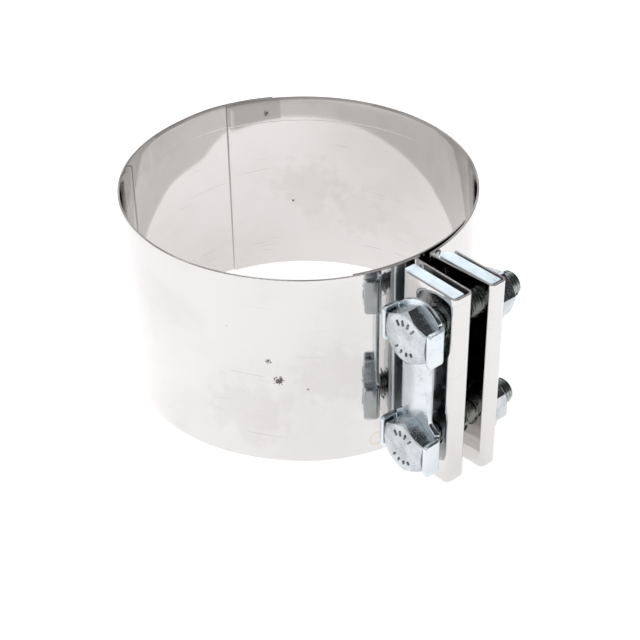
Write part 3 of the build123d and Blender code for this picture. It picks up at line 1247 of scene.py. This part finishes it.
@dataclass
class FlatWasher:
    """Stamped flat washer."""

    layout: Layout
    zinc: Finish
    level: Level
    hole: float = 5.5 * MM
    rounding: float = 0.35 * MM
    count: int = 96

    def build(self) -> None:
        """Make the washer."""
        box = Box.of(f"washer_{self.level.value}")
        middle = Vector((0, 0))
        outlines = [circle(middle, box.size.x / 2, self.count), circle(middle, self.hole, self.count, True)]
        shape = plate_mesh(outlines, box.size.y, self.rounding)
        stand(shape, Vector((box.centre.x, box.high.y, box.centre.z)), Vector((1, 0, 0)))
        piece = finish_mesh(f"{self.level.value}_flat_washer", shape, (self.zinc,))
        place(piece, "washers", Slot.ZINC, f"washer_{self.level.value}")


@dataclass
class BoltRetainer:
    """Plate under both heads, cut flat and then bent up in a tab beside each head's two flats."""

    layout: Layout
    zinc: Finish
    sheet: float = 2.0 * MM
    inside_bend: float = 0.65 * MM
    tab_half: float = 6.8 * MM
    tab_corner: float = 1.5 * MM
    web_half: float = 6.5 * MM
    shoulder_half: float = 11.5 * MM
    shoulder_height: float = 4.5 * MM
    slot: float = 0.4 * MM
    hole: float = 5.5 * MM
    rounding: float = 0.2 * MM
    bend_facets: int = 8

    def __post_init__(self) -> None:
        """Read the plate's half width, its back and its tabs' length from its box.

        The bolts are the lift above and below its middle.
        """
        box = Box.of("bolt_retainer")
        self.half, self.back = box.size.x / 2, box.high.y
        self.lift = self.layout.height(Level.UPPER) - self.layout.width / 2
        self.bend_start = self.half - self.sheet - self.inside_bend
        self.neutral = self.inside_bend + self.sheet / 2
        self.bent = self.neutral * math.pi / 2
        self.reach = self.bend_start + self.bent + box.size.y - self.sheet - self.inside_bend

    def blank(self) -> list[Vector]:
        """Outline of the flat blank, anticlockwise about its middle."""
        lift = self.lift
        low, high = lift - self.tab_half, lift + self.tab_half
        notch = self.bend_start - self.slot / 2
        meet = math.acos((self.bend_start - 0.1 * MM) / self.half)
        quarter = [(Vector((self.web_half, low - self.shoulder_height)), 2.0 * MM),
                   (Vector((self.shoulder_half, low - self.slot)), 0.7 * MM),
                   (Vector((notch, low - self.slot)), 0.0), (Vector((notch, low)), 0.0),
                   (Vector((self.reach, low)), self.tab_corner),
                   (Vector((self.reach, high)), self.tab_corner),
                   (Vector((self.bend_start, high)), 0.0)]
        steps = 24
        crown = [(Vector((0, lift)) + heading(meet + (math.pi - 2 * meet) * i / steps) * self.half, 0.0)
                 for i in range(steps + 1)]
        left = [(Vector((-p.x, p.y)), radius) for p, radius in reversed(quarter)]
        upper = quarter + crown + left
        return fillet(upper + [(-p, radius) for p, radius in upper], 5)

    def bend(self, spot: Vector) -> Vector:
        """Where a point of the flat blank goes once the tabs are bent."""
        across, out = abs(spot.x), spot.z
        side = math.copysign(1.0, spot.x)
        outer = self.inside_bend + self.sheet
        length = across - self.bend_start
        if length <= 0:
            x, y = across, self.back - out
        elif length < self.bent:
            turn = length / self.neutral
            x = self.bend_start + (outer - out) * math.sin(turn)
            y = self.back - outer + (outer - out) * math.cos(turn)
        else:
            x, y = self.bend_start + outer - out, self.back - outer - (length - self.bent)
        return Vector((self.layout.axis_x + side * x, y, self.layout.width / 2 + spot.y))

    def build(self) -> None:
        """Make the retainer."""
        holes = [circle(Vector((0, sign * self.lift)), self.hole, 64, True) for sign in (1, -1)]
        shape = plate_mesh([self.blank(), *holes], self.sheet, self.rounding, 2)
        for side in (-1, 1):
            for i in range(self.bend_facets + 1):
                cut = side * (self.bend_start + self.bent * i / self.bend_facets)
                everything = [*shape.verts, *shape.edges, *shape.faces]
                bmesh.ops.bisect_plane(shape, geom=everything, plane_co=(cut, 0, 0), plane_no=(1, 0, 0),
                                       dist=CUT_REACH)
        for vertex in shape.verts:
            vertex.co = self.bend(vertex.co)
        piece = finish_mesh("bent_bolt_retainer", shape, (self.zinc,))
        place(piece, "bolts", Slot.ZINC, "bolt_retainer")


# ---------------------------------------------------------------- studio


@dataclass
class Studio:
    """Pale floor, soft light and camera.

    Angles are in degrees; a heading runs from +X towards +Y. The dome is even all round but for
    one dim side, which gives the bright metal something to show against, and one bright patch.
    """

    camera_place: Vector = field(default_factory=lambda: Vector((0.3922, -0.3176, 0.3749)))
    camera_heading: float = 140.16
    camera_drop: float = 35.47
    camera_roll: float = -0.0143
    lens: float = 87.57
    sensor: float = 36.0
    view_reach: float = 100.0
    floor_half: float = 20.0
    floor_colour: tuple = (0.86, 0.86, 0.865, 1.0)
    floor_glow: float = 0.83
    dome: float = 0.82
    dome_colour: tuple = (0.94, 0.975, 1.0, 1.0)
    dim_direction: Vector = field(default_factory=lambda: Vector((0.45, 0.57, 0.68)))
    dim_level: float = 0.06
    dim_rim: tuple = (0.35, 0.80)
    bright_direction: Vector = field(default_factory=lambda: Vector((-0.70, 0.50, 0.50)))
    bright_level: float = 0.66
    bright_rim: tuple = (0.78, 0.96)

    def build(self) -> None:
        """Put up the whole studio."""
        self.camera()
        self.floor()
        self.light()

    def camera(self) -> None:
        """Camera that looks down at the clamp from the bolts' side."""
        data = bpy.data.cameras.new("camera")
        data.lens, data.sensor_width, data.clip_end = self.lens, self.sensor, self.view_reach
        turn, drop = math.radians(self.camera_heading), math.radians(self.camera_drop)
        ahead = Vector((math.cos(turn) * math.cos(drop), math.sin(turn) * math.cos(drop), -math.sin(drop)))
        right = ahead.cross(Vector((0, 0, 1))).normalized()
        up = right.cross(ahead)
        right, up = (right * math.cos(self.camera_roll) + up * math.sin(self.camera_roll),
                     up * math.cos(self.camera_roll) - right * math.sin(self.camera_roll))
        camera = add_object("camera", data)
        axes = Matrix((right, up, -ahead)).transposed().to_4x4()
        camera.matrix_world = Matrix.Translation(self.camera_place) @ axes
        bpy.context.scene.camera = camera

    def floor(self) -> None:
        """Wide pale floor under the clamp, lit from below as a light table is."""
        shape = bmesh.new()
        bmesh.ops.create_grid(shape, x_segments=8, y_segments=8, size=self.floor_half)
        mesh = as_mesh("floor", shape)
        shader = Shader("pale_floor")
        shader.set("Base Color", self.floor_colour)
        shader.set("Roughness", 0.9)
        shader.set("Specular IOR Level", 0.1)
        shader.set("Emission Color", (1.0, 0.985, 0.975, 1.0))
        shader.set("Emission Strength", self.floor_glow)
        mesh.materials.append(shader.material)
        floor = add_object("floor", mesh)
        floor.location.z = CAD_BOX[0][2]

    def light(self) -> None:
        """Soft dome with a dim side and a bright patch."""
        world = bpy.data.worlds.new("studio")
        bpy.context.scene.world = world
        world.use_nodes = True
        world.node_tree.nodes.clear()
        nodes = Nodes(world.node_tree)
        place = nodes.add("ShaderNodeTexCoord").outputs["Generated"]
        parts = []
        for direction, rim, start, end in (
                (self.dim_direction, self.dim_rim, self.dome, self.dim_level),
                (self.bright_direction, self.bright_rim, 0.0, self.bright_level)):
            facing = nodes.between(place, direction.normalized(), "DOT_PRODUCT")
            parts.append(nodes.ramp(facing, *rim, start, end))
        strength = nodes.math("ADD", *parts)
        dome = nodes.add("ShaderNodeBackground", {"Color": self.dome_colour, "Strength": strength})
        backdrop = nodes.add("ShaderNodeBackground", {"Color": (1.0, 1.0, 1.0, 1.0)})
        direct = nodes.add("ShaderNodeLightPath").outputs["Is Camera Ray"]
        choice = nodes.add("ShaderNodeMixShader", {0: direct, 1: dome.outputs[0], 2: backdrop.outputs[0]})
        nodes.add("ShaderNodeOutputWorld", {"Surface": choice.outputs[0]})
        bpy.context.scene.view_settings.view_transform = "Standard"


def main() -> None:
    logging.basicConfig(level=logging.INFO, format="%(name)s: %(message)s")
    layout = Layout()
    Studio().build()
    stainless = RolledStainless("rolled_stainless", layout)
    # painted shade: the bridge plate gets a darker copy of the band's stainless, for the recess between the
    # ears where it sits
    shaded_bridge_stainless = RolledStainless("shaded_bridge_stainless", layout, clean=(0.52, 0.51, 0.505, 1.0))
    sheared = ShearedEdge("sheared_edge")
    # painted highlight: the strips' cut ends are coloured near-white, far lighter than the sheared edge, so
    # the lap's cut end does not read as a dark line
    end_highlight = ShearedEdge("end_painted_bright", light=(0.95, 0.93, 0.92, 1.0), dark=(0.85, 0.83, 0.82, 1.0))
    Band(layout, SheetStrip(layout), stainless, shaded_bridge_stainless, sheared, end_highlight).build()
    bar_zinc = ZincPlate("bar_zinc", bright=(0.77, 0.83, 0.87, 1.0), dull=(0.66, 0.72, 0.76, 1.0),
                         shine=(0.28, 0.42))
    bars = ClampBars(layout, bar_zinc)
    for side in Side:
        bars.build(side)
    zinc = ZincPlate("bolt_zinc")
    # the olive tint is the plating's stain; the darker colour is painted shade, for the threads that show
    # in the shaded gap between the ears
    shaded_thread_zinc = ZincPlate("shaded_thread_zinc", bright=(0.52, 0.55, 0.53, 1.0), dull=(0.42, 0.45, 0.43, 1.0),
                            shine=(0.18, 0.26), pit_depth=0.0, cloud=60.0, relief=0.0)
    # the ticks on the head's face are coloured far darker than the rest of the head
    dark_tick_zinc = ZincPlate("dark_tick_zinc", bright=(0.20, 0.21, 0.22, 1.0), dull=(0.11, 0.115, 0.12, 1.0))
    head, nut = HexShape(), HexShape(flats=16.0 * MM)
    turns = {Level.UPPER: math.radians(42.0), Level.LOWER: math.radians(68.0)}
    for level in Level:
        HexBolt(layout, head, zinc, shaded_thread_zinc, dark_tick_zinc, level).build()
        FlatWasher(layout, zinc, level).build()
        HexNut(layout, nut, zinc, level, turns[level]).build()
    retainer_zinc = ZincPlate("retainer_zinc", bright=(0.72, 0.77, 0.80, 1.0), dull=(0.66, 0.71, 0.74, 1.0),
                              shine=(0.15, 0.26))
    BoltRetainer(layout, retainer_zinc).build()


if __name__ == "__main__":
    main()
